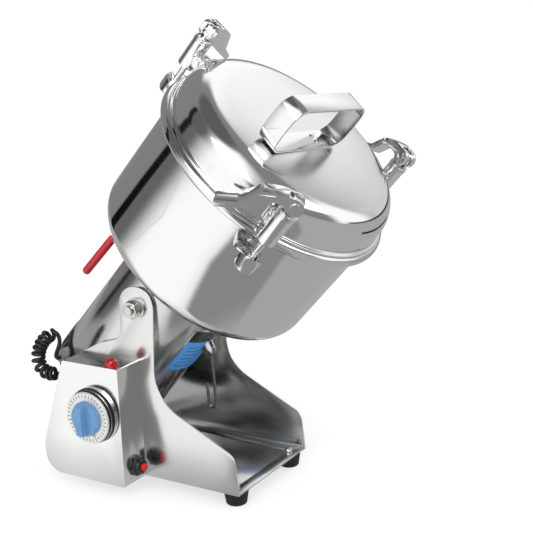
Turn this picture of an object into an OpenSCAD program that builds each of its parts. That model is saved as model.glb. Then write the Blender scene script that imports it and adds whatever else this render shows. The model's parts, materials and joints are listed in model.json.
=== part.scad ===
// Swing-type electric grain mill: a motor and grinding bowl that tilt together
// between the two side plates of a sheet-metal stand.
// The frame has X across the stand, -Y to the pouring side and Z up from the table.

/* [Stand] */
// Height of the tilt axis above the table
pivot_h = 193; // [185:1:230]
// Reach of the side plates in front of the tilt axis
base_front = 112; // [95:1:140]
// Reach of the side plates behind the tilt axis
base_back = 103.5; // [96:0.5:120]
// Radius of the ears that carry the tilt axis
ear_r = 21.2; // [17:0.1:25]
// Thickness of the stand's sheet metal
sheet = 1.5; // [1:0.1:2.5]
// Height of the rubber feet
foot_h = 14.5; // [10:0.5:20]
// Diameter of the rubber feet
foot_d = 25; // [18:1:30]
// Diameter of the two studs the head tilts on
stud_d = 10; // [8:1:14]

/* [Head] */
// Tilt of the head from upright, towards the pouring side
head_tilt = 42.6; // [0:0.1:88]
// Outer diameter of the motor tube
motor_d = 124; // [100:1:150]
// Distance from the tilt axis down to the end of the motor
motor_tail = 143.5; // [125:0.5:150]
// Outer diameter of the grinding bowl
bowl_d = 230; // [190:1:260]
// Distance from the tilt axis up to the underside of the bowl
bowl_floor = 52.5; // [45:0.5:70]
// Distance from the tilt axis up to the middle of the rim bead
rim_z = 185.7; // [155:0.1:225]
// Wall of the bowl and of the lid
bowl_wall = 1.8; // [1.2:0.1:3]
// Height of the lid above the middle of the bead
lid_h = 44.3; // [40:0.1:60]
// Diameter of the drive shaft
shaft_d = 12; // [8:0.5:16]

/* [Clamps] */
// Diameter of the clamp barrels
barrel_d = 18; // [14:0.5:22]
// Diameter of the clamp rods
rod_d = 6; // [5:0.5:8]
// Turn of the first clamp about the bowl's axis
clamp_turn = -58; // [-70:1:-50]

/* [Control box] */
// Thickness of the control box, outside the side plate
box_t = 34.5; // [28:0.5:45]
// Height of the top of the control box above the table
box_top = 138.8; // [125:0.1:150]
// Diameter of the timer's scale
dial_d = 54; // [44:1:60]
// Diameter of the timer's knob
knob_d = 35; // [28:1:40]

/* [Hidden] */
$fn = 48;
// Place of the tilt axis that puts the middle of the object over the origin
axis_x = -0.7;
axis_y = 44.8;

// Clearances
run = 0.06;         // a shaft in its bore
seat = 0.2;         // a piece in its seat
slide_gap = 0.4;    // a moving piece beside a fixed one
ear_gap = 1;        // the motor tube beside an ear

// Stand
doubler = 1.5;
base_w = motor_d + 2 * (ear_gap + doubler + sheet);
plate_x = base_w / 2 - sheet;     // inner face of a side plate
bend_r = 20;
column_y = 15;                    // front edge of the column under the ear
nose_h = 40.5;                    // height of the plates at their front corner
nose_lean = 4;                    // lean of that front edge
ramp = 26;                        // slope of the plates' front, in degrees
foot_in = 13;                     // a foot's axis from the plates' edges
hump = [52, pivot_h - 43.4];      // convex shoulder behind the ear
rear_top = [72, box_top];         // top rear corner, shared with the control box
rear_mid = [base_back + 0.5, 46];

// Head
motor_r = motor_d / 2;
tube_wall = 1.5;
cap_h = 32;
bowl_r = bowl_d / 2;
corner_r = 20;
bead_r = 5.5;                     // section of the bowl's edge, rolled round a wire
bead_at = bowl_r - bowl_wall + bead_r;   // middle of the bead, from the bowl's axis
bead_top = rim_z + bead_r;
rim_r = bead_at + bead_r;         // outside of the bead
lid_r = bowl_r + 1;
lid_edge = bead_at + 1.3;         // outside of the lid's thin flange
lid_seat = bead_top + 1.2;        // underside of that flange, over the gasket
lid_corner = 26;
lid_top = rim_z + lid_h;
dome = 2.5;                       // rise of the lid's middle
floor_in = bowl_floor + bowl_wall;

// Lever behind the tube and hook before it, as [Y, Z] and [X, Y, Z] in the head
lever_at = [motor_r + 15, 22];
lever_tip = -75;
wire_r = 1.6;
hook_eye = 4.2;                   // bend radius of the hook's eye
hook_pin_r = hook_eye - wire_r - 0.4;
hook_at = [0, -motor_r - hook_eye - wire_r - 1, -15];
hook_len = 58;
hook_bend = 4.6;
hook_tip = 22;
hook_lean = 4.3;                  // brings the hook's weight under its eye
hook_ear = wire_r + slide_gap + 1;
ear_half = 1;

// Motor inside the tube
tube_bottom = -motor_tail + cap_h;
stack_z = -50;                    // underside of the iron stack
stack_h = 60;
rotor_r = 26;

// Handle on the lid
handle_w = 110;
handle_h = 50;
handle_band = 21;
handle_t = 2.2;
handle_corner = 14;
handle_bulge = 2.5;               // swell of its two sides
handle_at = [-22, -12];
handle_turn = -6;
rivet_at = [24, 3.5];

// Clamps, measured outwards from the bowl's axis and up from the tilt axis
barrel_r = barrel_d / 2;
clamp_r = rim_r + seat + barrel_r;
rod_r = rod_d / 2;
barrel_z = [bead_top + 1.3, bead_top + 31.3];
ring_z = [barrel_z[1], barrel_z[1] + 5.5];
cam_r = 8.2;
cam_shift = 1.2;
cam_z = ring_z[1] + cam_r + cam_shift + 0.3;
eye_t = rod_d + slide_gap;        // the rod's flat eye, between the lever's cheeks
cheek_t = 4;
pin_r = 2.5;
ear_pin_r = 2;
ear_pin_at = [lid_r + 6.5, bead_top + 14.8];
tongue_t = 11.6;
ear_t = 2.5;
ear_r_out = 6;                    // round ends of the bracket's ears
seat_r = ear_pin_at[1] - bead_top + 22.2;   // the nut's round seat about the ear pin
nut_h = 14;
nut_r = 9.5;
lug_r = 13;
lug_x = -6;
lever_way = [0, 180, 0];          // the way each lever's arm lies, about its rod

// Outline of the lever's arm, from the cam towards its tip, as [x, z, radius]
LEVER = [
  [2, 6.2, 4], [-14, 5, 30], [-31, -3.5, 12], [-41, -23, 10], [-59, -34, 2.5],
  [-57, -39.5, 2.5], [-37, -29, 10], [-27, -9, 12], [-12, -4.5, 20], [-2, -6, 2]
];

// Control box
box_w = 1.2;
box_x = -base_w / 2;
box_front = 1.5;
dial_at = [34, 87.5];
timer_ring = 10.5;                // front of the timer's ring, from the box's face
lamp_at = [25.5, 15];
breaker_at = [14, 31];
gland_at = 112;
gland_in = box_t / 2 + 1;
gland_h = 5.4;                    // the cord's gland, out of the box's rear face
switch_at = 58;
rocker_pin_r = 1.5;
rocker_turn = 8;                  // the rocker's lean from its middle, at rest

// Rotor
shaft_r = shaft_d / 2;
bell_t = 4;
bearing_r = 16;
bearing_h = 10;
bearing_z = [tube_bottom - 2, bowl_floor - 2.6 - bearing_h];
blade_z = [floor_in + 9, floor_in + 24];

// Curly cord: x, y and z from the tilt axis over the table, and radius
CORD = [
  [-84, 92, 115, 4.5], [-84, 97, 115.5, 7], [-84, 102, 115, 8], [-84, 109, 114.5, 8],
  [-84, 116, 117, 8], [-83.5, 120.5, 124, 8], [-83, 121, 133, 8], [-82.5, 117, 143.5, 8],
  [-82, 110, 152, 8], [-81, 102, 157, 7.5], [-80, 96.5, 158.5, 5.5], [-79, 93, 157, 3.6],
  [-78.5, 91.5, 152, 3.3], [-78.3, 93, 146, 3.3], [-78, 96.5, 140.5, 3.3],
  [-76.5, 101.5, 134, 3.3], [-72.5, 106, 128.5, 3.3], [-68, 108, 126, 3.3]
];
motor_gland = [-motor_r - 1.4, 108.4, 125.4];
cord_sides = 12;

// ---- Outlines -------------------------------------------------------------

function unit(v) = v / norm(v);
function arc(c, r, a, b, n = 8) = [for (i = [0:n]) c + r * [cos(a + (b - a) * i / n), sin(a + (b - a) * i / n)]];

// Points of a corner p between a and b, rounded to radius r
function rounded(a, p, b, r, n = 8) =
  let (u = unit(a - p), v = unit(b - p), half = acos(u * v) / 2)
  let (c = p + unit(u + v) * r / sin(half), d = r / tan(half))
  let (s = p + u * d - c, e = p + v * d - c)
  let (a0 = atan2(s[1], s[0]), a1 = atan2(e[1], e[0]), turn = a1 - a0)
  let (sweep = turn > 180 ? turn - 360 : turn < -180 ? turn + 360 : turn)
  arc(c, r, a0, a0 + sweep, n);

// A closed outline of corners [x, y, radius]
function outline(q, n = 8) = [
  for (i = [0:len(q) - 1])
    let (a = q[(i + len(q) - 1) % len(q)], p = q[i], b = q[(i + 1) % len(q)])
    each p[2] > 0 ? rounded([a[0], a[1]], [p[0], p[1]], [b[0], b[1]], p[2], n) : [[p[0], p[1]]]
];

// The same corners moved inwards by d, for a convex outline
function inset(q, d) = [
  for (i = [0:len(q) - 1])
    let (a = q[(i + len(q) - 1) % len(q)], p = q[i], b = q[(i + 1) % len(q)])
    let (u = unit([a[0] - p[0], a[1] - p[1]]), v = unit([b[0] - p[0], b[1] - p[1]]))
    let (w = unit(u + v) * d / sin(acos(u * v) / 2))
    [p[0] + w[0], p[1] + w[1], max(p[2] - d, 0.4)]
];

// Corners of a side plate, as [y, z, radius]
function plate_corners() =
  let (nose = [-base_front + nose_lean, foot_h + nose_h], y = -column_y)
  [
    [-base_front, foot_h, 1], [nose[0], nose[1], 14],
    [y, nose[1] + (y - nose[0]) * tan(ramp), 45],
    [-ear_r - 0.4, pivot_h + ear_r, ear_r - 1.4], [ear_r, pivot_h + ear_r, ear_r - 1.4],
    [ear_r + 0.5, hump[1] + 9.6, 11], [hump[0], hump[1], 45],
    [rear_top[0], rear_top[1], 4], [rear_mid[0], rear_mid[1], 10], [rear_mid[0], foot_h, bend_r]
  ];

// Corners of the control box
BOX = [
  [box_front, foot_h, 1.5], [box_front, box_top, 2], [rear_top[0], box_top, 3],
  [rear_mid[0], rear_mid[1], 10], [rear_mid[0], foot_h, bend_r]
];
rear_lean = atan2(rear_mid[0] - rear_top[0], rear_top[1] - rear_mid[1]);
function rear_y(z) = rear_top[0] + (rear_top[1] - z) * tan(rear_lean);

// ---- Frames ---------------------------------------------------------------

module stand_at() {
  translate([axis_x, axis_y, 0]) children();
}

module head_at() {
  translate([axis_x, axis_y, pivot_h]) rotate([head_tilt, 0, 0]) children();
}

module clamp_at(i) {
  head_at() rotate([0, 0, clamp_turn + 120 * (i - 1)]) children();
}

// Lays a sheet cut to a [y, z] outline upright, from x towards +X
module upright(x, t) {
  translate([x, 0, 0]) rotate([90, 0, 90]) linear_extrude(t) children();
}

// A cylinder along X
module across(x, y, z, r, h, r2 = -1) {
  translate([x, y, z]) rotate([0, 90, 0]) cylinder(r1 = r, r2 = r2 < 0 ? r : r2, h = h);
}

// A hexagon across its flats, with chamfered corners
module hex(flats, h) {
  intersection() {
    cylinder(d = flats / cos(30), h = h, $fn = 6);
    union() {
      cylinder(d1 = flats * 1.02, d2 = flats * 1.16, h = h / 5);
      translate([0, 0, h / 5]) cylinder(d = flats * 1.16, h = h * 3 / 5);
      translate([0, 0, h * 4 / 5]) cylinder(d1 = flats * 1.16, d2 = flats * 1.02, h = h / 5);
    }
  }
}

// ---- Stand ----------------------------------------------------------------

pan_back = rear_mid[0] - bend_r;

module base_pan() {
  color("silver") stand_at() difference() {
    union() {
      translate([-plate_x, -base_front + 1, foot_h]) cube([2 * plate_x, base_front - 1 + pan_back, sheet]);
      translate([-plate_x, pan_back - sheet, foot_h]) cube([2 * plate_x, sheet, 16]);
    }
    for (x = [-1, 1], y = [-base_front + foot_in, pan_back - foot_in - sheet])
      translate([x * (plate_x - foot_in), y, 0]) cylinder(r = 2.2, h = foot_h + 5);
  }
}

module side_plate(side) {
  x = side < 0 ? -plate_x - sheet : plate_x;
  color("silver") stand_at() difference() {
    upright(x, sheet) polygon(outline(plate_corners()));
    across(x - 1, 0, pivot_h, stud_d / 2 + run, sheet + 2);
  }
}

module ear_plate(side) {
  x = side < 0 ? -plate_x : plate_x - doubler;
  color("gainsboro") stand_at() difference() {
    upright(x, doubler) polygon(outline([
      [-column_y - 0.5, pivot_h - 27, 3], [-ear_r + 0.2, pivot_h + ear_r - 0.6, ear_r - 2],
      [ear_r - 0.6, pivot_h + ear_r - 0.6, ear_r - 2], [ear_r - 0.6, pivot_h - 27, 3]
    ]));
    across(x - 1, 0, pivot_h, stud_d / 2 + run, doubler + 2);
  }
}

function foot_xy(i) = [
  (i % 2 == 0 ? 1 : -1) * (plate_x - foot_in),
  i < 3 ? -base_front + foot_in : pan_back - foot_in - sheet
];

module foot(i) {
  p = foot_xy(i);
  color("dimgray") stand_at() translate([p[0], p[1], 0]) difference() {
    rotate_extrude() polygon([
      [0, 0], [foot_d / 2 - 3.4, 0], [foot_d / 2 - 2, 1.2], [foot_d / 2, foot_h - 1],
      [foot_d / 2, foot_h], [0, foot_h]
    ]);
    cylinder(r = 4.6, h = 5.6);
    cylinder(r = 2.2, h = foot_h + 1);
  }
}

module foot_screws() {
  color("gray") for (i = [1:4]) stand_at() translate([foot_xy(i)[0], foot_xy(i)[1], 0]) {
    translate([0, 0, 3]) cylinder(r = 4.2, h = 2.6);
    translate([0, 0, 5.6]) cylinder(r = 2, h = foot_h + sheet + 3.6 - 5.6);
    translate([0, 0, foot_h + sheet]) hex(7, 3.2);
  }
}

// ---- Control box ----------------------------------------------------------

module box_shell() {
  color("gainsboro") stand_at() difference() {
    upright(box_x - box_t, box_t) polygon(outline(BOX));
    upright(box_x - box_t + box_w, box_t) polygon(outline(inset(BOX, box_w)));
    across(box_x - box_t - 1, dial_at[0], dial_at[1], 19, 4);
    translate([box_x - lamp_at[0], lamp_at[1], box_top - 3]) cylinder(r = 4.2, h = 6);
    translate([box_x - breaker_at[0], box_front - 2, breaker_at[1]]) rotate([-90, 0, 0]) cylinder(r = 6.2, h = 5);
    rear_at(gland_at, -gland_in) translate([0, 0, -4]) cylinder(r = 4.2, h = 8);
    rear_at(switch_at, -box_t / 2) translate([-6.6, -9.6, -4]) cube([13.2, 19.2, 8]);
    rear_at(30, -box_t / 2 + 4) translate([0, 0, -9]) cylinder(r = 4.6, h = 18);
  }
}

// On the box's rear face at height z, with +Z standing out of it
module rear_at(z, x) {
  lean = z > rear_mid[1] ? rear_lean : 0;
  y = z > rear_mid[1] ? rear_y(z) : rear_mid[0];
  translate([box_x + x, y, z]) rotate([-90 + lean, 0, 0]) children();
}

module dial_axis() {
  stand_at() translate([box_x - box_t, dial_at[0], dial_at[1]]) rotate([0, -90, 0]) children();
}

module timer_body() {
  color("dimgray") dial_axis() difference() {
    union() {
      rotate_extrude($fn = 96) polygon([
        [0, 0], [dial_d / 2 + 1.5, 0], [dial_d / 2 + 1.5, 2.4], [dial_d / 2 - 0.4, 3.2],
        [dial_d / 2 - 0.4, 4.6], [dial_d / 2 + 0.8, 5.2], [dial_d / 2 + 0.8, 7], [dial_d / 2 - 1, 7.6],
        [dial_d / 2 - 1, 9], [dial_d / 2, timer_ring], [0, timer_ring]
      ]);
      translate([0, 0, -box_w]) cylinder(r = 18.8, h = box_w + 0.5);
      translate([-22, -20, -box_t + 6]) cube([44, 40, box_t - 6 - box_w - 0.3]);
    }
    translate([0, 0, -8]) cylinder(r = 3 + run, h = timer_ring + 10);
  }
}

module timer_dial() {
  color("white") dial_axis() translate([0, 0, timer_ring]) difference() {
    cylinder(d1 = dial_d - 0.4, d2 = dial_d - 2.4, h = 1.4, $fn = 96);
    translate([0, 0, -1]) cylinder(d = knob_d - 8, h = 4);
  }
}

module timer_knob() {
  color("steelblue") dial_axis() {
    translate([0, 0, -6]) cylinder(r = 3, h = timer_ring + 8);
    translate([0, 0, timer_ring + 1.8]) {
      rotate_extrude($fn = 72) polygon([
        [0, 0], [knob_d / 2, 0], [knob_d / 2, 1.6], [knob_d / 2 - 1.6, 4.6], [knob_d / 2 - 3, 5.2], [0, 5.2]
      ]);
      intersection() {
        translate([-knob_d / 2, -3.6, 0]) cube([knob_d, 7.2, 13]);
        rotate([90, 0, 0]) translate([0, 0, -4])
          linear_extrude(8) polygon(outline([
            [-knob_d / 2 + 0.8, 1, 0.5], [-knob_d / 2 + 2.6, 13, 2.5],
            [knob_d / 2 - 2.6, 13, 2.5], [knob_d / 2 - 0.8, 1, 0.5]
          ], 4));
      }
    }
  }
}

module lamp() {
  color("firebrick") stand_at() translate([box_x - lamp_at[0], lamp_at[1], box_top]) {
    rotate_extrude() polygon(concat(
      [[0, 0], [7.2, 0], [7.2, 1.6]], arc([0, 1.6], 6.4, 0, 90, 10)
    ));
    translate([0, 0, -14]) cylinder(r = 4, h = 14.5);
  }
}

module breaker_axis() {
  stand_at() translate([box_x - breaker_at[0], box_front, breaker_at[1]]) rotate([90, 0, 0]) children();
}

module breaker_body() {
  color("dimgray") breaker_axis() difference() {
    union() {
      hex(18, 4.5);
      translate([0, 0, 4]) cylinder(d1 = 16, d2 = 14.4, h = 4);
      translate([0, 0, -box_w]) cylinder(r = 6, h = box_w + 1);
      translate([-8, -12, -24]) cube([16, 24, 24 - box_w - 0.3]);
    }
    translate([0, 0, -10]) cylinder(r = 3.8 + run, h = 20);
  }
}

module breaker_button() {
  color("firebrick") breaker_axis() translate([0, 0, -4]) {
    cylinder(r = 3.8, h = 15.2);
    translate([0, 0, 15.2]) cylinder(r1 = 3.8, r2 = 2.8, h = 1);
  }
}

module switch_body() {
  color("dimgray") stand_at() rear_at(switch_at, -box_t / 2) difference() {
    union() {
      translate([-8, -11, 0]) cube([16, 22, 2.2]);
      translate([-6.4, -9.4, -16]) cube([12.8, 18.8, 17]);
    }
    translate([-5, -8, -7]) cube([10, 16, 12]);
  }
  color("dimgray") stand_at() rear_at(switch_at, -box_t / 2) across(-5.5, 0, 0, rocker_pin_r, 11);
}

module switch_rocker() {
  color("black") stand_at() rear_at(switch_at, -box_t / 2) rotate([0, 90, 0]) rotate([0, 0, rocker_turn]) translate([0, 0, -4.7]) difference() {
    linear_extrude(9.4) polygon(concat(
      arc([0, 0], 4.2, 60, -60, 6), [[-5, -6.9], [-6.6, -6.7], [-4.4, 0], [-6.6, 6.7], [-5, 6.9]]
    ));
    cylinder(r = rocker_pin_r + run, h = 30, center = true);
  }
}

module box_gland() {
  color("dimgray") stand_at() rear_at(gland_at, -gland_in) {
    difference() {
      union() {
        cylinder(r = 6.5, h = 3);
        translate([0, 0, -6]) cylinder(r = 4, h = 6.5);
        translate([0, 0, -5]) cylinder(r = 6, h = 5 - box_w - 0.3);
      }
      translate([0, 0, -7]) cylinder(r = 2.6, h = 5);
    }
    translate([0, 0, 2.8]) cylinder(r1 = 5.4, r2 = 4.4, h = gland_h - 2.8);
  }
}

module mains_gland() {
  color("dimgray") stand_at() rear_at(30, -box_t / 2 + 4) difference() {
    union() {
      cylinder(r = 7, h = 3);
      translate([0, 0, -5]) cylinder(r = 4.4, h = 6);
      translate([0, 0, 3]) cylinder(r1 = 6, r2 = 4.8, h = 5);
    }
    translate([0, 0, -6]) cylinder(r = 3.2, h = 20);
  }
}

// ---- Curly cord -----------------------------------------------------------

gland_tip = [box_x - gland_in, rear_y(gland_at) + gland_h * cos(rear_lean), gland_at + gland_h * sin(rear_lean)];
ROUTE = [each [concat(gland_tip, 3.6)], each CORD, each [concat(motor_gland, 3.3)]];

function cord_ring(i) =
  let (n = len(ROUTE), p = ROUTE[i], a = ROUTE[max(i - 1, 0)], b = ROUTE[min(i + 1, n - 1)])
  let (o = [p[0], p[1], p[2]])
  let (d = i == n - 1 ? [1, 0, 0] : i == 0 ? [0, cos(rear_lean), sin(rear_lean)] : unit([b[0] - a[0], b[1] - a[1], b[2] - a[2]]))
  let (u = unit(cross(d, [0.3, -0.2, 1])), v = cross(d, u))
  [for (k = [0:cord_sides - 1]) o + p[3] * (u * cos(360 * k / cord_sides) + v * sin(360 * k / cord_sides))];

module curly_cord() {
  n = len(ROUTE);
  m = cord_sides;
  color("dimgray") stand_at() polyhedron(
    points = [for (i = [0:n - 1]) each cord_ring(i)],
    faces = concat(
      [[for (k = [0:m - 1]) k]],
      [for (i = [0:n - 2], k = [0:m - 1]) [i * m + k, (i + 1) * m + k, (i + 1) * m + (k + 1) % m]],
      [for (i = [0:n - 2], k = [0:m - 1]) [i * m + k, (i + 1) * m + (k + 1) % m, i * m + (k + 1) % m]],
      [[for (k = [0:m - 1]) n * m - 1 - k]]
    ),
    convexity = 6
  );
}

// ---- Motor ----------------------------------------------------------------

module motor_tube() {
  color("silver") head_at() difference() {
    translate([0, 0, tube_bottom]) cylinder(r = motor_r, h = bowl_floor - tube_bottom, $fn = 96);
    translate([0, 0, tube_bottom - 1]) cylinder(r = motor_r - tube_wall, h = bowl_floor - tube_bottom - 2, $fn = 96);
    translate([0, 0, bowl_floor - 6]) cylinder(r = motor_r - 14, h = 10, $fn = 96);
    for (s = [-1, 1]) across(s * motor_r - 5, 0, 0, stud_d / 2 + 1, 10);
  }
  color("silver") head_at() {
    for (s = [-1, 1]) difference() {
      hull() {
        across(s * hook_ear - ear_half, hook_at[1], hook_at[2], hook_eye, 2 * ear_half);
        across(s * hook_ear - ear_half, -motor_r + 2, hook_at[2], hook_eye + 3, 2 * ear_half);
      }
      translate([0, 0, hook_at[2] - 20]) cylinder(r = motor_r - 0.2, h = 40, $fn = 96);
    }
    across(-hook_ear - ear_half, hook_at[1], hook_at[2], hook_pin_r, 2 * (hook_ear + ear_half));
  }
}

module lever_bracket() {
  color("silver") head_at() {
    difference() {
      union() for (s = [-1, 1]) translate([s * 6 - 1, 0, 0]) rotate([90, 0, 90]) linear_extrude(2)
        polygon(outline([[motor_r - 2, 8, 0], [lever_at[0] + 6, 15, 5], [lever_at[0] + 6, 29, 5], [motor_r - 2, 36, 0]]));
      cylinder(r = motor_r + seat, h = 200, center = true, $fn = 96);
      across(-10, lever_at[0], lever_at[1], 2 + run, 20);
    }
    difference() {
      translate([-12, motor_r - 4, 6]) cube([24, 6.2, 32]);
      cylinder(r = motor_r + seat, h = 200, center = true, $fn = 96);
    }
  }
}

module tilt_lever() {
  color("silver") head_at() {
    difference() {
      translate([-2.4, 0, 0]) rotate([90, 0, 90]) linear_extrude(4.8) polygon(outline([
        [lever_at[0] - 5, lever_at[1] + 7, 4], [lever_at[0] + 5, lever_at[1] + 7, 4],
        [lever_at[0] + 6.5, lever_at[1] - 14, 20], [lever_at[0] + 17, -20, 20],
        [lever_at[0] + 19.4, lever_tip + 3, 2], [lever_at[0] + 14.4, lever_tip + 3, 2],
        [lever_at[0] + 12, -20, 20], [lever_at[0] - 1, lever_at[1] - 14, 20]
      ], 5));
      across(-5, lever_at[0], lever_at[1], 2 + run, 10);
    }
    across(-8.4, lever_at[0], lever_at[1], 2, 16.8);
    for (s = [-1, 1]) across(s * 8.1 - 0.9, lever_at[0], lever_at[1], 3.4, 1.8);
  }
}

module lever_grip() {
  color("firebrick") head_at() difference() {
    hull() {
      translate([0, lever_at[0] + 14.4, -16]) sphere(r = 4.6, $fn = 24);
      translate([0, lever_at[0] + 16.9, lever_tip + 4]) sphere(r = 4.6, $fn = 24);
    }
    translate([-2.5, lever_at[0] + 3, -24]) cube([5, 24, 40]);
    translate([-2.5, 0, 0]) rotate([90, 0, 90]) linear_extrude(5) polygon([
      [lever_at[0] + 11.8, -19], [lever_at[0] + 17.2, -19],
      [lever_at[0] + 19.6, lever_tip + 2.8], [lever_at[0] + 14.2, lever_tip + 2.8]
    ]);
  }
}

module motor_cap() {
  color("dimgray") head_at() difference() {
    union() {
      translate([0, 0, -motor_tail]) rotate_extrude($fn = 96) polygon([
        [0, 0], [motor_r - 6, 0], [motor_r - 1, 2], [motor_r + 0.6, 5], [motor_r + 0.6, cap_h - 0.2], [0, cap_h - 0.2]
      ]);
      translate([0, 0, tube_bottom - 0.2]) cylinder(r = motor_r - tube_wall - seat, h = 6, $fn = 96);
    }
    translate([0, 0, -motor_tail + 3]) cylinder(r = motor_r - 5, h = cap_h + 10, $fn = 96);
    for (a = [0:20:340]) rotate([0, 0, a]) translate([0, -2, -motor_tail - 1]) cube([motor_r - 14, 4, 6]);
    translate([0, 0, -motor_tail + 1]) cylinder(r = 14, h = 4);
    for (a = [0:10:350]) rotate([0, 0, a + 5]) translate([motor_r - 8, -1.8, -motor_tail + 10]) cube([12, 3.6, 14]);
  }
}

module end_bell_upper() {
  top = bowl_floor - 2.6;
  color("lightgray") head_at() difference() {
    union() {
      translate([0, 0, top - bell_t - 6]) cylinder(r = motor_r - tube_wall - seat, h = bell_t, $fn = 96);
      translate([0, 0, top - 14]) cylinder(r = bearing_r + 5, h = 14);
    }
    translate([0, 0, top - bearing_h]) cylinder(r = bearing_r, h = 30);
    translate([0, 0, -200]) cylinder(r = shaft_r + 2, h = 400);
    for (a = [30:60:330]) rotate([0, 0, a]) translate([40, 0, -200]) cylinder(r = 9, h = 400);
  }
}

module end_bell_lower() {
  z = tube_bottom + 8;
  color("lightgray") head_at() difference() {
    union() {
      translate([0, 0, z]) cylinder(r = motor_r - tube_wall - seat, h = bell_t, $fn = 96);
      translate([0, 0, z - 10]) cylinder(r = bearing_r + 4, h = 14);
    }
    translate([0, 0, z - 11]) cylinder(r = bearing_r, h = bearing_h + 1);
    translate([0, 0, -200]) cylinder(r = shaft_r + 2, h = 400);
    for (a = [30:60:330]) rotate([0, 0, a]) translate([40, 0, -200]) cylinder(r = 9, h = 400);
  }
}

module bearings() {
  color("gray") head_at() for (z = bearing_z) translate([0, 0, z]) rotate_extrude() polygon([
    [shaft_r + run, 0], [9.5, 0], [10, 0.8], [12.5, 0.8], [13, 0], [bearing_r - 0.1, 0],
    [bearing_r - 0.1, bearing_h], [13, bearing_h], [12.5, bearing_h - 0.8], [10, bearing_h - 0.8],
    [9.5, bearing_h], [shaft_r + run, bearing_h]
  ]);
}

module stator() {
  color("slategray") head_at() difference() {
    union() {
      translate([0, 0, stack_z]) cylinder(r = motor_r - tube_wall - seat, h = stack_h, $fn = 96);
      for (s = [0, 180]) rotate([0, 0, s]) translate([0, 0, stack_z - 11])
        linear_extrude(stack_h + 22) polygon(concat(arc([0, 0], 46, 50, 130, 10), arc([0, 0], 30, 130, 50, 10)));
    }
    translate([0, 0, -200]) cylinder(r = rotor_r + 0.8, h = 400, $fn = 96);
    for (s = [0, 180]) rotate([0, 0, s]) across(motor_r - 8, 0, 0, stud_d / 2 + 6, 20);
    for (s = [0, 180]) rotate([0, 0, s]) translate([0, 0, stack_z - 1])
      linear_extrude(stack_h + 2) polygon(concat(arc([0, 0], 52, -32, 32, 8), arc([0, 0], 33, 32, -32, 8)));
  }
}

// ---- Rotor ----------------------------------------------------------------

shaft_top = blade_z[1] + 12;

module armature() {
  color("slategray") head_at() difference() {
    union() {
      translate([0, 0, tube_bottom - 12]) cylinder(r = shaft_r, h = shaft_top - tube_bottom + 12);
      translate([0, 0, stack_z]) cylinder(r = rotor_r, h = stack_h, $fn = 96);
      for (z = [stack_z - 10, stack_z + stack_h]) translate([0, 0, z]) cylinder(r = rotor_r - 4, h = 10);
      translate([0, 0, stack_z - 28]) cylinder(r = 15, h = 16);
      translate([0, 0, floor_in + 1.2]) cylinder(r = shaft_r + 4, h = blade_z[0] - floor_in - 1.2);
    }
    for (a = [0:24:336]) rotate([0, 0, a]) translate([rotor_r - 5, -0.9, stack_z - 1]) cube([8, 1.8, stack_h + 2]);
  }
}

module fan() {
  z = -motor_tail + 6;
  color("gray") head_at() difference() {
    union() {
      translate([0, 0, z]) cylinder(r = shaft_r + 6, h = 18);
      translate([0, 0, z + 16]) cylinder(r = motor_r - 10, h = 2, $fn = 72);
      for (a = [0:36:324]) rotate([0, 0, a]) translate([shaft_r + 4, -0.9, z + 3])
        rotate([0, 0, 12]) cube([motor_r - 26, 1.8, 14]);
    }
    translate([0, 0, z - 1]) cylinder(r = shaft_r, h = 40);
  }
}

// A two-armed cutter, its tips turned up by an angle
module cutter(z, arm, turn, lift) {
  head_at() translate([0, 0, z]) rotate([0, 0, turn]) difference() {
    union() {
      cylinder(r = 15, h = 3);
      for (s = [0, 180]) rotate([0, 0, s]) {
        linear_extrude(3) polygon([[0, -12], [arm * 0.62, -11], [arm * 0.62, 9], [0, 12]]);
        translate([arm * 0.6, 0, 0]) rotate([0, -lift, 0])
          linear_extrude(2.8) polygon([[0, -11], [arm * 0.32, -10], [arm * 0.42, -2], [arm * 0.36, 6], [0, 9]]);
      }
    }
    translate([0, 0, -5]) cylinder(r = shaft_r + run, h = 20);
  }
}

module blade_lower() {
  color("silver") cutter(blade_z[0], bowl_r - 20, 20, 10);
}

module blade_upper() {
  color("silver") cutter(blade_z[1], bowl_r - 34, 110, 24);
  color("silver") head_at() translate([0, 0, blade_z[0] + 3.1]) difference() {
    cylinder(r = 11, h = blade_z[1] - blade_z[0] - 3.2);
    translate([0, 0, -1]) cylinder(r = shaft_r, h = 30);
  }
}

module blade_nut() {
  color("gray") head_at() translate([0, 0, blade_z[1] + 3.1]) difference() {
    union() {
      hex(20, 8);
      translate([0, 0, 7.9]) cylinder(r1 = 9, r2 = 6, h = 5);
    }
    translate([0, 0, -1]) cylinder(r = shaft_r, h = 10.2);
  }
}

// ---- Tilt axis ------------------------------------------------------------

module pivot_studs() {
  color("gray") head_at() for (s = [0, 180]) rotate([0, 0, s]) {
    across(motor_r - 2.2 - tube_wall, 0, 0, stud_d / 2, 2.2 + tube_wall + ear_gap + doubler + sheet + 15);
    across(motor_r - 7, 0, 0, stud_d / 2 + 4.5, 4.4);
  }
}

module pivot_nuts() {
  color("silver") head_at() for (s = [0, 180]) rotate([0, 0, s]) translate([base_w / 2 + 0.15, 0, 0]) rotate([0, 90, 0]) difference() {
    union() {
      cylinder(r = 10.5, h = 1.6);
      translate([0, 0, 1.6]) cylinder(r = 8.6, h = 2.2);
      translate([0, 0, 3.8]) hex(16, 7.6);
    }
    translate([0, 0, -1]) cylinder(r = stud_d / 2, h = 20);
  }
}

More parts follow.
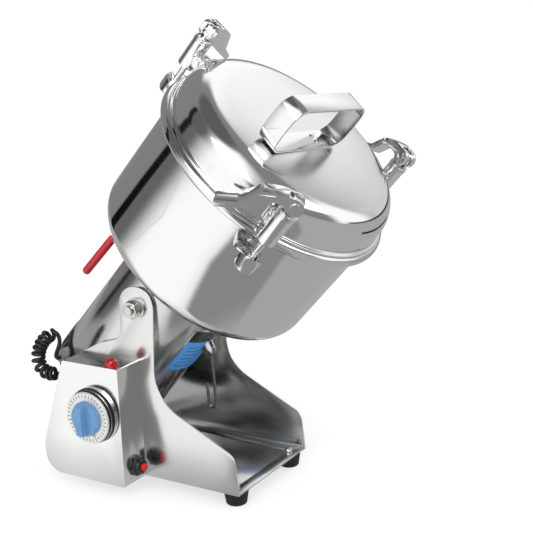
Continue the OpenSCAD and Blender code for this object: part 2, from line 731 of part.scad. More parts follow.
module motor_gland_body() {
  h = motor_gland;
  color("gray") stand_at() difference() {
    translate([h[0], h[1], h[2]]) rotate([0, 90, 0]) {
      cylinder(r1 = 5.4, r2 = 6.4, h = 4);
      translate([0, 0, 4]) cylinder(r = 7.6, h = 12);
    }
    translate([0, 0, pivot_h]) rotate([head_tilt, 0, 0]) translate([0, 0, -150]) cylinder(r = motor_r + 0.8, h = 200, $fn = 96);
  }
}

module hang_hook() {
  color("silver") head_at() translate(hook_at) rotate([-head_tilt - hook_lean, 0, 0]) {
    rotate([0, 90, 0]) rotate_extrude() translate([hook_eye, 0]) circle(r = wire_r, $fn = 16);
    translate([0, 0, -hook_len]) cylinder(r = wire_r, h = hook_len - hook_eye + 0.6, $fn = 16);
    translate([0, hook_bend, -hook_len]) rotate([90, 0, 90]) rotate([0, 0, 180])
      rotate_extrude(angle = 180) translate([hook_bend, 0]) circle(r = wire_r, $fn = 16);
    translate([0, 2 * hook_bend, -hook_len]) cylinder(r = wire_r, h = hook_tip, $fn = 16);
  }
}

// ---- Bowl and lid ---------------------------------------------------------

module bowl() {
  meet = acos((bead_at - bowl_r) / bead_r) - 180;   // where the wall runs into the bead
  color("gainsboro") head_at() rotate_extrude($fn = 128) polygon(concat(
    [[shaft_r + 0.4, bowl_floor]],
    arc([bowl_r - corner_r, bowl_floor + corner_r], corner_r, -90, 0, 12),
    arc([bead_at, rim_z], bead_r, meet, 180, 18),
    arc([bowl_r - corner_r, bowl_floor + corner_r], corner_r - bowl_wall, 0, -90, 12),
    [[shaft_r + 0.4, floor_in]]
  ));
}

module rim_gasket() {
  h = lid_seat - bead_top - 0.1;
  color("ivory") head_at() translate([0, 0, bead_top + 0.05]) difference() {
    cylinder(r = lid_edge - 1.5, h = h, $fn = 128);
    translate([0, 0, -1]) cylinder(r = bead_at - 3.5, h = h + 2, $fn = 128);
  }
}

// Outside of the lid above its flange, moved outwards by d
function lid_line(d) = concat(
  arc([lid_r - lid_corner, lid_top - lid_corner], lid_corner + d, 0, 84, 14),
  [for (q = [[0.6, 0.55], [0.3, 0.9], [0, 1]]) [lid_r * q[0], lid_top + dome * q[1] + d]]
);

// The room that the lid takes, with its seat
module lid_room() {
  rotate_extrude($fn = 128) polygon(concat([[0, rim_z], [lid_r + seat, rim_z]], lid_line(seat)));
}

module lid() {
  inner = lid_line(-bowl_wall);
  n = len(inner);
  color("gainsboro") head_at() rotate_extrude($fn = 128) polygon(concat(
    [[lid_edge, lid_seat - 1]], arc([lid_edge - 1.2, lid_seat], 1.2, 0, 90, 4),
    [[lid_r + 1, lid_seat + 1.2], [lid_r, lid_seat + 2.2]],
    lid_line(0), [for (i = [n - 1:-1:0]) inner[i]],
    [[lid_r - bowl_wall, lid_seat], [lid_edge - 1.2, lid_seat], [lid_edge - 1.2, lid_seat - 1]]
  ));
}

module lid_handle() {
  w = handle_w / 2;
  h = handle_h;
  c = handle_corner;
  side = w + handle_bulge;
  band = [[-w, 0, c], [-side, h / 2, 2 * h], [-w, h, c], [w, h, c], [side, h / 2, 2 * h], [w, 0, c]];
  color("gainsboro") head_at() rotate([0, 0, handle_turn])
    translate([handle_at[0], handle_at[1], lid_top + dome]) {
      translate([0, handle_band / 2, 0]) rotate([90, 0, 0]) linear_extrude(handle_band) difference() {
        polygon(outline(band));
        polygon(outline(inset(band, handle_t)));
      }
      for (s = [-1, 1]) translate([rivet_at[0], s * rivet_at[1], handle_t]) intersection() {
        translate([0, 0, -1.6]) sphere(r = 3);
        translate([-3, -3, -0.2]) cube([6, 6, 3]);
      }
    }
}

// ---- Clamps ---------------------------------------------------------------
// In a clamp's frame -Y points away from the bowl's axis

// Along the ear pin, from x = a to x = b
module pin_axis(r, a, b) {
  across(a, -ear_pin_at[0], ear_pin_at[1], r, b - a);
}

module bracket(i) {
  e = ear_r_out;
  color("silver") clamp_at(i) difference() {
    union() {
      for (s = [-1, 1]) {
        a = s < 0 ? -tongue_t / 2 - 0.3 - ear_t : tongue_t / 2 + 0.3;
        pin_axis(e, a, a + ear_t);
        translate([a, -ear_pin_at[0], ear_pin_at[1] - e]) cube([ear_t, 2 * e, 2 * e]);
      }
      translate([-2 * e, -lid_r - 1.2, ear_pin_at[1] - e]) cube([4 * e, 10, 2 * e + 2]);
    }
    lid_room();
    pin_axis(ear_pin_r + run, -20, 20);
  }
}

module barrel(i) {
  color("silver") clamp_at(i) {
    difference() {
      union() {
        translate([0, -clamp_r, barrel_z[0]]) cylinder(r = barrel_r, h = barrel_z[1] - barrel_z[0]);
        translate([0, -clamp_r, ring_z[0] - 0.1]) cylinder(r = barrel_r - 0.6, h = 5.6);
        for (z = [0.8, 3.2]) translate([0, -clamp_r, ring_z[0] + z]) cylinder(r = barrel_r + 0.5, h = 1.4);
        pin_axis(4.7, -tongue_t / 2, tongue_t / 2);
        translate([-tongue_t / 2, -clamp_r, ear_pin_at[1] - 4.7]) cube([tongue_t, clamp_r - ear_pin_at[0], 9.4]);
      }
      for (s = [-1, 1]) {
        a = s < 0 ? -20 : tongue_t / 2;
        pin_axis(6.4, a, a + 20 - (s < 0 ? tongue_t / 2 : 0));
        translate([a, -ear_pin_at[0], ear_pin_at[1] - 6.4]) cube([20 - (s < 0 ? tongue_t / 2 : 0), 12, 12.8]);
      }
      translate([0, -clamp_r, 0]) cylinder(r = rod_r + run, h = 400);
    }
    pin_axis(ear_pin_r, -tongue_t / 2 - ear_t - 1.6, tongue_t / 2 + ear_t + 1.6);
    for (s = [-1, 1]) pin_axis(3.2, s * (tongue_t / 2 + ear_t + 1.4) - 0.8, s * (tongue_t / 2 + ear_t + 1.4) + 0.8);
  }
}

module rod(i) {
  seat_z = ear_pin_at[1] - seat_r - 0.3;
  color("gray") clamp_at(i) {
    difference() {
      union() {
        translate([0, -clamp_r, seat_z - nut_h]) cylinder(r = rod_r, h = cam_z - seat_z + nut_h - 5);
        translate([0, -clamp_r, seat_z - nut_h + 3]) hex(2 * nut_r, nut_h + 3);
        translate([0, -clamp_r - eye_t / 2, cam_z]) rotate([-90, 0, 0]) cylinder(r = 5.2, h = eye_t);
        translate([-rod_r, -clamp_r - eye_t / 2, cam_z - 7]) cube([2 * rod_r, eye_t, 7]);
      }
      intersection() {
        pin_axis(seat_r + 0.3, -20, 20);
        translate([0, -clamp_r, seat_z - 20]) difference() {
          cylinder(r = 20, h = 60);
          translate([0, 0, -1]) cylinder(r = rod_r, h = 80);
        }
        translate([-20, -clamp_r - 20, seat_z - 20]) cube([40, 40, 32]);
      }
      translate([0, -clamp_r - 10, cam_z]) rotate([-90, 0, 0]) cylinder(r = pin_r + run, h = 20);
    }
  }
}

module cam_lever(i) {
  w = eye_t / 2 + 0.2;
  color("silver") clamp_at(i) translate([0, -clamp_r, cam_z]) rotate([0, 0, lever_way[i - 1]]) {
    difference() {
      union() {
        for (s = [-1, 1]) translate([0, s * (w + cheek_t / 2), 0]) rotate([90, 0, 0])
          translate([0, -cam_shift, -cheek_t / 2]) cylinder(r = cam_r, h = cheek_t);
        translate([0, w + cheek_t, 0]) rotate([90, 0, 0]) linear_extrude(2 * (w + cheek_t)) polygon(outline(LEVER, 6));
      }
      translate([0, w, 0]) rotate([90, 0, 0]) linear_extrude(2 * w)
        polygon([[20, -20], [20, 20], [-8.8, 20], [-8.8, -20]]);
      translate([-26, -w - cheek_t - 1, -2.5]) rotate([0, -28, 0]) translate([-7, 0, -2]) cube([14, 2.2, 4]);
    }
    translate([0, -w - cheek_t - 0.8, 0]) rotate([-90, 0, 0]) cylinder(r = pin_r, h = 2 * (w + cheek_t) + 1.6);
    for (s = [-1, 1]) translate([0, s * (w + cheek_t + 0.8), 0]) rotate([90, 0, 0]) cylinder(r = 4.4, h = 1.6, center = true);
  }
}

module lug(i) {
  top = ear_pin_at[1] - seat_r + 5.4;
  color("silver") clamp_at(i) difference() {
    intersection() {
      translate([0, 0, top - 16]) linear_extrude(16) polygon(outline([
        [lug_x - lug_r, -bowl_r + 12, 0], [lug_x - lug_r, -clamp_r - 8, 12],
        [lug_x + lug_r, -clamp_r - 8, 12], [lug_x + lug_r, -bowl_r + 12, 0]
      ]));
      pin_axis(seat_r, -40, 40);
    }
    translate([0, 0, 50]) cylinder(r = bowl_r + seat, h = 200, $fn = 128);
    translate([0, -clamp_r, 100]) cylinder(r = rod_r + 0.7, h = 100);
    translate([-rod_r - 0.7, -clamp_r - 30, 100]) cube([2 * rod_r + 1.4, 30, 100]);
  }
}

// ---- Assembly -------------------------------------------------------------

base_pan();
side_plate(-1);  // side_plate_left
side_plate(1);  // side_plate_right
ear_plate(-1);  // ear_plate_left
ear_plate(1);  // ear_plate_right
foot(1);  // foot_1
foot(2);  // foot_2
foot(3);  // foot_3
foot(4);  // foot_4
foot_screws();
box_shell();
timer_body();
timer_dial();
timer_knob();
lamp();
breaker_body();
breaker_button();
switch_body();
switch_rocker();
box_gland();
mains_gland();
curly_cord();
motor_tube();
motor_cap();
end_bell_upper();
end_bell_lower();
bearings();
stator();
pivot_studs();
pivot_nuts();
motor_gland_body();
lever_bracket();
tilt_lever();
lever_grip();
hang_hook();
armature();
fan();
blade_lower();
blade_upper();
blade_nut();
bowl();
rim_gasket();
lug(1);  // lug_1
lug(2);  // lug_2
lug(3);  // lug_3
lid();
lid_handle();
bracket(1);  // bracket_1
bracket(2);  // bracket_2
bracket(3);  // bracket_3
barrel(1);  // barrel_1
barrel(2);  // barrel_2
barrel(3);  // barrel_3
rod(1);  // rod_1
rod(2);  // rod_2
rod(3);  // rod_3
cam_lever(1);  // cam_lever_1
cam_lever(2);  // cam_lever_2
cam_lever(3);  // cam_lever_3
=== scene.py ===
import json
import math
import bmesh
import bpy
from mathutils import Matrix, Vector


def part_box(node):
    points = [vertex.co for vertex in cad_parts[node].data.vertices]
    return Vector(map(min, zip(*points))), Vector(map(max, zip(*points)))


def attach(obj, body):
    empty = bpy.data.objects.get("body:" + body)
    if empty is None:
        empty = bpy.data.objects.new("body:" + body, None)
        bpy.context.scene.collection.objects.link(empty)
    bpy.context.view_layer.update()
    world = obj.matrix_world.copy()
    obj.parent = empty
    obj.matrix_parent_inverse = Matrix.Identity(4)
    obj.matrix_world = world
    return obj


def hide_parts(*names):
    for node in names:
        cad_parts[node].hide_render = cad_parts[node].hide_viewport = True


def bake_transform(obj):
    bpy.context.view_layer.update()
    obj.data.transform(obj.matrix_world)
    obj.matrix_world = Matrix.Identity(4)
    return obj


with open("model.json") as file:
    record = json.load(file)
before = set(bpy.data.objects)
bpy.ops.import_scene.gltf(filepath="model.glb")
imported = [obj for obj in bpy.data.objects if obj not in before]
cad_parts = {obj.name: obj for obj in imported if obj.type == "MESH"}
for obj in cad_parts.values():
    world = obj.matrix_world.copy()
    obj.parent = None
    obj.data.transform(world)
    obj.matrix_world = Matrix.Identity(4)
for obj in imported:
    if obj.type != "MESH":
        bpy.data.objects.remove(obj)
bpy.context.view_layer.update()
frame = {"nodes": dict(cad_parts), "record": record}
nodes = frame["nodes"]
bpy.context.scene.view_settings.view_transform = "Standard"


# ---- Camera ------------------------------------------------------------------
# The camera stands to the left front of the mill, a little above its highest point,
# and leans by two degrees. Its lens keeps the whole machine in a square picture.
camera = bpy.data.objects.new("camera", bpy.data.cameras.new("camera"))
bpy.context.collection.objects.link(camera)
bpy.context.scene.camera = camera
camera.data.lens = 75.9
camera.data.sensor_width = 36
camera.data.clip_end = 20
camera_place, roll = (-0.9065, -0.6286, 0.4936), math.radians(-2.13)
look = Vector((0.8251, 0.5115, -0.2399)).normalized()
right = look.cross(Vector((0, 0, 1))).normalized()
above = right.cross(look)
right, above = (math.cos(roll) * right + math.sin(roll) * above,
                math.cos(roll) * above - math.sin(roll) * right)
camera.matrix_world = Matrix.Translation(camera_place) @ Matrix((right, above, -look)).transposed().to_4x4()


# ---- Floor, lamps and room ----------------------------------------------------
# A pale seamless floor in a white room, under a broad soft lamp from the upper left and a
# weaker one from the front. Polished steel shows only what stands round it, so mirror rays
# alone see pale and grey tones, a few dark ones, two black strips and one black cloth.
def linear(code):
    parts = [int(code[i:i + 2], 16) / 255 for i in (1, 3, 5)]
    return [c / 12.92 if c <= 0.04045 else ((c + 0.055) / 1.055) ** 2.4 for c in parts] + [1]


def add(tree, kind, inputs={}, **settings):
    node = tree.nodes.new(kind)
    for name, value in settings.items():
        setattr(node, name, value)
    for name, value in inputs.items():
        if isinstance(value, bpy.types.NodeSocket):
            tree.links.new(value, node.inputs[name])
        else:
            node.inputs[name].default_value = value
    return node


def new_material(name):
    material = bpy.data.materials.new(name)
    material.use_nodes = True
    material.node_tree.nodes.clear()
    return material, material.node_tree


def piece_from(name, points, faces, materials, smooth=40):
    mesh = bpy.data.meshes.new(name)
    mesh.from_pydata([tuple(p) for p in points], [], faces)
    for material in materials:
        mesh.materials.append(material)
    piece = bpy.data.objects.new(name, mesh)
    bpy.context.collection.objects.link(piece)
    if smooth:
        mesh.shade_smooth()
        mesh.set_sharp_from_angle(angle=math.radians(smooth))
    return piece


def studio_tones(tree, place, second, base, patches):
    """Soft patches of tone round the set, over a plain base. Each one is a window in compass
    angle (centre, half width, soft edge, lean) and a window in the second coordinate."""
    split = add(tree, "ShaderNodeSeparateXYZ", {0: place})
    radians = add(tree, "ShaderNodeMath", {0: split.outputs["Y"], 1: split.outputs["X"]}, operation="ARCTAN2")
    angle = add(tree, "ShaderNodeMath", {0: radians.outputs[0]}, operation="DEGREES")
    tone = linear(base)
    for (centre, half, soft, lean), (middle, reach, fade), code in patches:
        leaning = add(tree, "ShaderNodeMath", {0: second, 1: -lean, 2: -centre}, operation="MULTIPLY_ADD")
        off = add(tree, "ShaderNodeMath", {0: angle.outputs[0], 1: leaning.outputs[0]}, operation="ADD")
        turned = add(tree, "ShaderNodeMath", {0: off.outputs[0], 1: 180, 2: -180}, operation="WRAP")
        beside = add(tree, "ShaderNodeMath", {0: turned.outputs[0]}, operation="ABSOLUTE")
        across = add(tree, "ShaderNodeMapRange", {0: beside.outputs[0], 1: half, 2: half + soft, 3: 1, 4: 0},
                     interpolation_type="SMOOTHSTEP")
        rise = add(tree, "ShaderNodeMath", {0: second, 1: middle}, operation="SUBTRACT")
        away = add(tree, "ShaderNodeMath", {0: rise.outputs[0]}, operation="ABSOLUTE")
        along = add(tree, "ShaderNodeMapRange", {0: away.outputs[0], 1: reach, 2: reach + fade, 3: 1, 4: 0},
                    interpolation_type="SMOOTHSTEP")
        mask = add(tree, "ShaderNodeMath", {0: across.outputs[0], 1: along.outputs[0]}, operation="MULTIPLY")
        mixed = add(tree, "ShaderNodeMix", {0: mask.outputs[0], 6: tone, 7: linear(code)}, data_type="RGBA")
        tone = mixed.outputs[2]
    return tone


# How bright mirror rays see the tones round the set. The second coordinate of a patch is a
# distance in metres on the floor, and a height in degrees in the room.
mirror_gain = 1.2
floor_paint, tree = new_material("matt_backdrop_paper")
ray = add(tree, "ShaderNodeLightPath")
place = add(tree, "ShaderNodeTexCoord")
distance = add(tree, "ShaderNodeVectorMath", {0: place.outputs["Object"]}, operation="LENGTH")
tones = studio_tones(tree, place.outputs["Object"], distance.outputs["Value"], "#A5A5A5", [
    ((155, 18, 32, 0), (3.5, 3.15, 0.35), "#FFFFFF"),
    ((212, 24, 6, 0), (3.2, 3.0, 0.1), "#888888")])
paper = add(tree, "ShaderNodeBsdfDiffuse", {"Color": linear("#F4F4F4")})
glow = add(tree, "ShaderNodeEmission", {"Color": (1, 1, 1, 1), "Strength": 1.25})
pool = add(tree, "ShaderNodeEmission", {"Color": tones, "Strength": mirror_gain})
lit = add(tree, "ShaderNodeMixShader", {0: 0.5, 1: paper.outputs[0], 2: glow.outputs[0]})
seen = add(tree, "ShaderNodeMixShader", {
    0: ray.outputs["Is Camera Ray"], 1: paper.outputs[0], 2: lit.outputs[0]})
mirrored = add(tree, "ShaderNodeMixShader", {
    0: ray.outputs["Is Glossy Ray"], 1: seen.outputs[0], 2: pool.outputs[0]})
add(tree, "ShaderNodeOutputMaterial", {"Surface": mirrored.outputs[0]})
floor_reach = 6
floor_corners = [(x * floor_reach, y * floor_reach, 0) for x, y in ((-1, -1), (1, -1), (1, 1), (-1, 1))]
floor = piece_from("floor", floor_corners, [(0, 1, 2, 3)], [floor_paint], smooth=0)

world = bpy.data.worlds.new("studio")
bpy.context.scene.world = world
world.use_nodes = True
tree = world.node_tree
tree.nodes.clear()
ray = add(tree, "ShaderNodeLightPath")
way = add(tree, "ShaderNodeTexCoord")
split = add(tree, "ShaderNodeSeparateXYZ", {0: way.outputs["Generated"]})
radians = add(tree, "ShaderNodeMath", {0: split.outputs["Z"]}, operation="ARCSINE")
height = add(tree, "ShaderNodeMath", {0: radians.outputs[0]}, operation="DEGREES")
tones = studio_tones(tree, way.outputs["Generated"], height.outputs[0], "#7E7E7E", [
    ((0, 180, 1, 0), (90, 18, 9), "#5A5A5A"),
    ((104, 5, 14, 0.5), (15, 20, 10), "#626262"),
    ((131, 16, 16, 0), (50, 14, 10), "#5C5C5C"),
    ((-25, 15, 15, 0), (15, 22, 10), "#B4B4B4"),
    ((-8, 14, 12, 0), (8, 14, 8), "#CCCCCC"),
    ((12, 16, 14, 0), (38, 9, 11), "#FFFFFF"),
    ((-52, 10, 14, 0), (12, 16, 12), "#FFFFFF"),
    ((160, 18, 40, 0.9), (25, 35, 8), "#FFFFFF"),
    ((-143, 10, 12, 0), (4, 6, 8), "#2C2C2C"),
    ((-20, 35, 8, 0), (-1, 1.6, 0.8), "#202020"),
    ((88, 4, 2.5, 0.72), (11, 19, 1), "#0E0E0E"),
    ((112, 4, 2.5, -0.1), (45, 15, 4), "#0E0E0E")])
soft = add(tree, "ShaderNodeBackground", {"Color": (1, 1, 1, 1), "Strength": 0.85})
mirrored = add(tree, "ShaderNodeBackground", {"Color": tones, "Strength": mirror_gain})
plain = add(tree, "ShaderNodeBackground", {"Color": (1, 1, 1, 1), "Strength": 1.0})
gloss = add(tree, "ShaderNodeMath", {
    0: ray.outputs["Is Glossy Ray"], 1: ray.outputs["Is Transmission Ray"]}, operation="MAXIMUM")
first = add(tree, "ShaderNodeMixShader", {0: gloss.outputs[0], 1: soft.outputs[0], 2: mirrored.outputs[0]})
second = add(tree, "ShaderNodeMixShader", {
    0: ray.outputs["Is Camera Ray"], 1: first.outputs[0], 2: plain.outputs[0]})
add(tree, "ShaderNodeOutputWorld", {"Surface": second.outputs[0]})


def lamp_panel(name, place, aim, size, power):
    data = bpy.data.lights.new(name, "AREA")
    data.shape = "RECTANGLE"
    data.size, data.size_y = size
    data.energy = power
    panel = bpy.data.objects.new(name, data)
    bpy.context.collection.objects.link(panel)
    way = (Vector(aim) - Vector(place)).normalized()
    panel.matrix_world = Matrix.Translation(place) @ way.to_track_quat("-Z", "Y").to_matrix().to_4x4()


lamp_panel("lamp_left", (-1.5, -0.4, 1.5), (0, 0, 0.2), (1.2, 1.2), 12)
lamp_panel("lamp_front", (0.2, -1.9, 1.2), (0, 0, 0.2), (1.0, 0.8), 5)

flag_cloth, tree = new_material("black_flag_cloth")
cloth = add(tree, "ShaderNodeEmission", {"Color": linear("#0E0E0E"), "Strength": 1.0})
add(tree, "ShaderNodeOutputMaterial", {"Surface": cloth.outputs[0]})
flag_corners = [(0.42, -0.60, 0.001), (1.25, -0.18, 0.001), (1.20, -0.08, 0.001), (0.38, -0.50, 0.001)]
flag = piece_from("flag_on_floor", flag_corners, [(0, 1, 2, 3)], [flag_cloth], smooth=0)
flag.visible_camera = flag.visible_diffuse = flag.visible_shadow = flag.visible_transmission = False


# ---- Curly cord -------------------------------------------------------------------
# A black PVC curly lead from the box to the motor, so that the head can tilt. Its turns open
# where it bends, and its last stretch runs without turns into the motor's gland. Its points
# are in mm from stand_place, the spot on the table below the middle of the tilt axis.
stand_place = Vector((-0.7, 44.8, 0))


def smooth_path(points, steps):
    out = []
    for i in range(len(points) - 1):
        a, b, c, d = (points[max(i - 1, 0)], points[i], points[i + 1], points[min(i + 2, len(points) - 1)])
        for k in range(steps):
            t = k / steps
            out.append(0.5 * (2 * b + (c - a) * t + (2 * a - 5 * b + 4 * c - d) * t * t
                              + (3 * b - a - 3 * c + d) * t ** 3))
    return out + [points[-1]]


def frames_along(path):
    ways = [(path[min(i + 1, len(path) - 1)] - path[max(i - 1, 0)]).normalized() for i in range(len(path))]
    side = ways[0].orthogonal().normalized()
    sides = []
    for way in ways:
        side = (side - way * side.dot(way)).normalized()
        sides.append((side, way.cross(side)))
    return ways, sides


def tube(name, path, radius, sides, material):
    frames = frames_along(path)[1]
    points, faces, last = [], [], (len(path) - 1) * sides
    for p, (u, v) in zip(path, frames):
        for k in range(sides):
            angle = 2 * math.pi * k / sides
            points.append(p + radius * (u * math.cos(angle) + v * math.sin(angle)))
    for ring in range(0, last, sides):
        for k in range(sides):
            n = (k + 1) % sides
            faces.append((ring + k, ring + n, ring + sides + n, ring + sides + k))
    faces += [tuple(range(sides - 1, -1, -1)), tuple(last + k for k in range(sides))]
    return piece_from(name, points, faces, [material], smooth=50)


cord_line = [Vector(p) for p in (
    (-84.25, 86.35, 113.76), (-84, 92, 115), (-84, 97, 115.5), (-84, 102, 115), (-84, 109, 114.5),
    (-84, 116, 117), (-83.5, 120.5, 124), (-83, 121, 133), (-82.5, 117, 143.5), (-82, 110, 152),
    (-81, 102, 157), (-80, 96.5, 158.5), (-79, 93, 157), (-78.5, 91.5, 152), (-78.3, 93, 146),
    (-78, 96.5, 140.5), (-76.5, 101.5, 134), (-72.5, 106, 128.5), (-68, 108, 126), (-63.4, 108.4, 125.4))]
# Sizes of the coil in mm, then how finely its route is cut, and over how many of those steps
# its bends are evened out and measured. The coil starts coil_from mm along the route, and ends
# coil_past mm beyond the point last_coiled.
coil_radius, turn_gap, lead_radius, lead_in, ring_gap, lead_sides = 5.6, 4.9, 2.15, 14.0, 1.1, 10
steps, ease, span = 40, 60, 60
last_coiled, coil_past, coil_from, least_opening = 12, 3, 1.0, 0.4
route = smooth_path(cord_line, steps)
axis_line = []
for i in range(len(route)):
    reach = min(ease, i, len(route) - 1 - i)
    axis_line.append(sum(route[i - reach:i + reach + 1], Vector()) / (2 * reach + 1))
ways, sides_along = frames_along(axis_line)
travel = [0.0]
for a, b in zip(axis_line, axis_line[1:]):
    travel.append(travel[-1] + (b - a).length)
coil_to = travel[last_coiled * steps] + coil_past
# The turns open where the coil bends, so that they just clear each other on its inner side.
lead_line, turn = [], 0.0
for i, p in enumerate(axis_line):
    s = travel[i]
    swell = max(0.0, min(1.0, (s - coil_from) / lead_in, (coil_to - s) / lead_in))
    swell = swell * swell * (3 - 2 * swell)
    a, b = max(i - span, 0), min(i + span, len(axis_line) - 1)
    bend = ways[a].angle(ways[b]) / (travel[b] - travel[a])
    pitch = turn_gap / max(least_opening, 1 - coil_radius * bend)
    turn += 2 * math.pi * swell ** 2 * (s - travel[max(i - 1, 0)]) / pitch
    u, v = sides_along[i]
    lead_line.append(p + coil_radius * swell * (u * math.cos(turn) + v * math.sin(turn)))
spaced = [lead_line[0]]
for p in lead_line[1:]:
    if (p - spaced[-1]).length > ring_gap:
        spaced.append(p)
spaced[-1] = lead_line[-1]
lead_points = [(p + stand_place) / 1000 for p in spaced]
lead_pvc, tree = new_material("black_pvc_lead")
place = add(tree, "ShaderNodeTexCoord")
dust = add(tree, "ShaderNodeTexNoise", {"Vector": place.outputs["Object"], "Scale": 420, "Detail": 4})
rough = add(tree, "ShaderNodeMapRange", {0: dust.outputs[0], 3: 0.34, 4: 0.5})
bump = add(tree, "ShaderNodeBump", {"Height": dust.outputs[0], "Strength": 0.12, "Distance": 0.0003})
pvc = add(tree, "ShaderNodeBsdfPrincipled", {
    "Base Color": linear("#161617"), "Roughness": rough.outputs[0], "Normal": bump.outputs[0], "IOR": 1.5})
add(tree, "ShaderNodeOutputMaterial", {"Surface": pvc.outputs[0]})
coil_end = (lead_line[next(i for i, s in enumerate(travel) if s >= coil_to)] + stand_place) / 1000
cut = min(range(len(lead_points)), key=lambda i: (lead_points[i] - coil_end).length)
coil_points, tail_points = lead_points[:cut + 1], lead_points[cut - 1:]
coil = tube("curly_lead", coil_points, lead_radius / 1000, lead_sides, lead_pvc)
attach(coil, "stand")
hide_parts("curly_cord")
# Only the end without turns stretches to the gland on the tilting motor.
tail = tube("curly_lead_end", tail_points, lead_radius / 1000, lead_sides, lead_pvc)
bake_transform(tail)


# ---- Stainless sheet of the stand -----------------------------------------------
# Bent stainless sheet with a satin finish: the bottom with its lip, two side plates
# and a doubler inside each ear. Its cut edges are broken and given a paler, brighter steel, as a painted
# highlight.
body_of = {node: body for body, names in frame["record"]["behaviour"]["bodies"].items() for node in names}


def satin_steel(name, colour, rough_from, rough_to, scale):
    """Metal with a fine grain that is stretched by its scale, and a faint cloudiness."""
    material, tree = new_material(name)
    place = add(tree, "ShaderNodeTexCoord")
    along = add(tree, "ShaderNodeMapping", {"Vector": place.outputs["Object"], "Scale": scale})
    grain = add(tree, "ShaderNodeTexNoise", {"Vector": along.outputs[0], "Scale": 1.0, "Detail": 3})
    cloud = add(tree, "ShaderNodeTexNoise", {"Vector": place.outputs["Object"], "Scale": 14, "Detail": 2})
    both = add(tree, "ShaderNodeMath", {0: grain.outputs[0], 1: cloud.outputs[0]}, operation="ADD")
    rough = add(tree, "ShaderNodeMapRange", {0: both.outputs[0], 1: 0.5, 2: 1.5, 3: rough_from, 4: rough_to})
    bump = add(tree, "ShaderNodeBump", {"Height": grain.outputs[0], "Strength": 0.03, "Distance": 0.0001})
    steel = add(tree, "ShaderNodeBsdfPrincipled", {
        "Base Color": linear(colour), "Metallic": 1.0, "Roughness": rough.outputs[0],
        "Normal": bump.outputs[0]})
    add(tree, "ShaderNodeOutputMaterial", {"Surface": steel.outputs[0]})
    return material


def softened(node, width, materials, segments=2):
    """A copy of a CAD node with its sharp edges broken, riding and standing for it."""
    # The first is in metres, and the others are in degrees.
    merge_within, flat_within, broken_over, creased_over = 2e-5, 0.4, 35, 30
    shape = bmesh.new()
    shape.from_mesh(nodes[node].data)
    bmesh.ops.remove_doubles(shape, verts=shape.verts, dist=merge_within)
    bmesh.ops.dissolve_limit(shape, angle_limit=math.radians(flat_within), verts=shape.verts,
                             edges=shape.edges)
    edges = [e for e in shape.edges
             if len(e.link_faces) == 2 and e.calc_face_angle(0) > math.radians(broken_over)]
    bmesh.ops.bevel(shape, geom=edges, offset=width, offset_type="OFFSET", segments=segments, profile=0.5,
                    affect="EDGES", clamp_overlap=True, harden_normals=False)
    mesh = bpy.data.meshes.new(node + "_finished")
    shape.to_mesh(mesh)
    shape.free()
    for material in materials:
        mesh.materials.append(material)
    mesh.shade_smooth()
    mesh.set_sharp_from_angle(angle=math.radians(creased_over))
    piece = bpy.data.objects.new(mesh.name, mesh)
    bpy.context.collection.objects.link(piece)
    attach(piece, body_of[node])
    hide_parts(node)
    return piece


plate_steel = satin_steel("satin_stainless_sheet", "#DADAD9", 0.17, 0.24, (700, 14, 700))
# A paler, brighter steel on cut edges and folds: a painted highlight.
edge_highlight_steel = satin_steel("stainless_edge_painted_highlight", "#F6F6F5", 0.3, 0.4, (300, 300, 300))
softened("base_pan", 0.0003, [plate_steel])
# The plates stand across x, so what faces another way is their cut edge, and it gets the painted highlight.
facing_out = 0.9
for node in ("side_plate_left", "side_plate_right", "ear_plate_left", "ear_plate_right"):
    plate = softened(node, 0.0004, [plate_steel, edge_highlight_steel])
    for face in plate.data.polygons:
        face.material_index = 1 if abs(face.normal.x) < facing_out else 0


# ---- Feet -------------------------------------------------------------------------
# Moulded rubber feet, held under the stand by zinc-plated screws. Rubber is dull, with a
# fine powdery grain, and the plating is pale and bright, with a faintly uneven tint.
foot_rubber, tree = new_material("moulded_rubber")
place = add(tree, "ShaderNodeTexCoord")
powder = add(tree, "ShaderNodeTexNoise", {"Vector": place.outputs["Object"], "Scale": 900, "Detail": 3})
rough = add(tree, "ShaderNodeMapRange", {0: powder.outputs[0], 3: 0.5, 4: 0.75})
bump = add(tree, "ShaderNodeBump", {"Height": powder.outputs[0], "Strength": 0.2, "Distance": 0.0002})
rubber = add(tree, "ShaderNodeBsdfPrincipled", {
    "Base Color": linear("#191919"), "Roughness": rough.outputs[0], "Normal": bump.outputs[0]})
add(tree, "ShaderNodeOutputMaterial", {"Surface": rubber.outputs[0]})
for i in (1, 2, 3, 4):
    softened(f"foot_{i}", 0.0005, [foot_rubber])
zinc, tree = new_material("zinc_plated_steel")
place = add(tree, "ShaderNodeTexCoord")
tint = add(tree, "ShaderNodeTexNoise", {"Vector": place.outputs["Object"], "Scale": 160, "Detail": 3})
tone = add(tree, "ShaderNodeMix", {0: tint.outputs[0], 6: linear("#BEBFBC"), 7: linear("#DADAD6")},
           data_type="RGBA")
rough = add(tree, "ShaderNodeMapRange", {0: tint.outputs[0], 3: 0.2, 4: 0.34})
steel = add(tree, "ShaderNodeBsdfPrincipled", {
    "Base Color": tone.outputs[2], "Metallic": 1.0, "Roughness": rough.outputs[0]})
add(tree, "ShaderNodeOutputMaterial", {"Surface": steel.outputs[0]})
softened("foot_screws", 0.0002, [zinc])


# ---- Control box ------------------------------------------------------------------
# A folded box of the same satin sheet, fixed to the left side plate. Its broad flats have
# the sheet's grain, and the rounded folds between them are painted bright, as a painted highlight.
box_steel = satin_steel("satin_stainless_box", "#E6E6E5", 0.13, 0.2, (700, 14, 700))
box = softened("box_shell", 0.0016, [box_steel, edge_highlight_steel], segments=4)
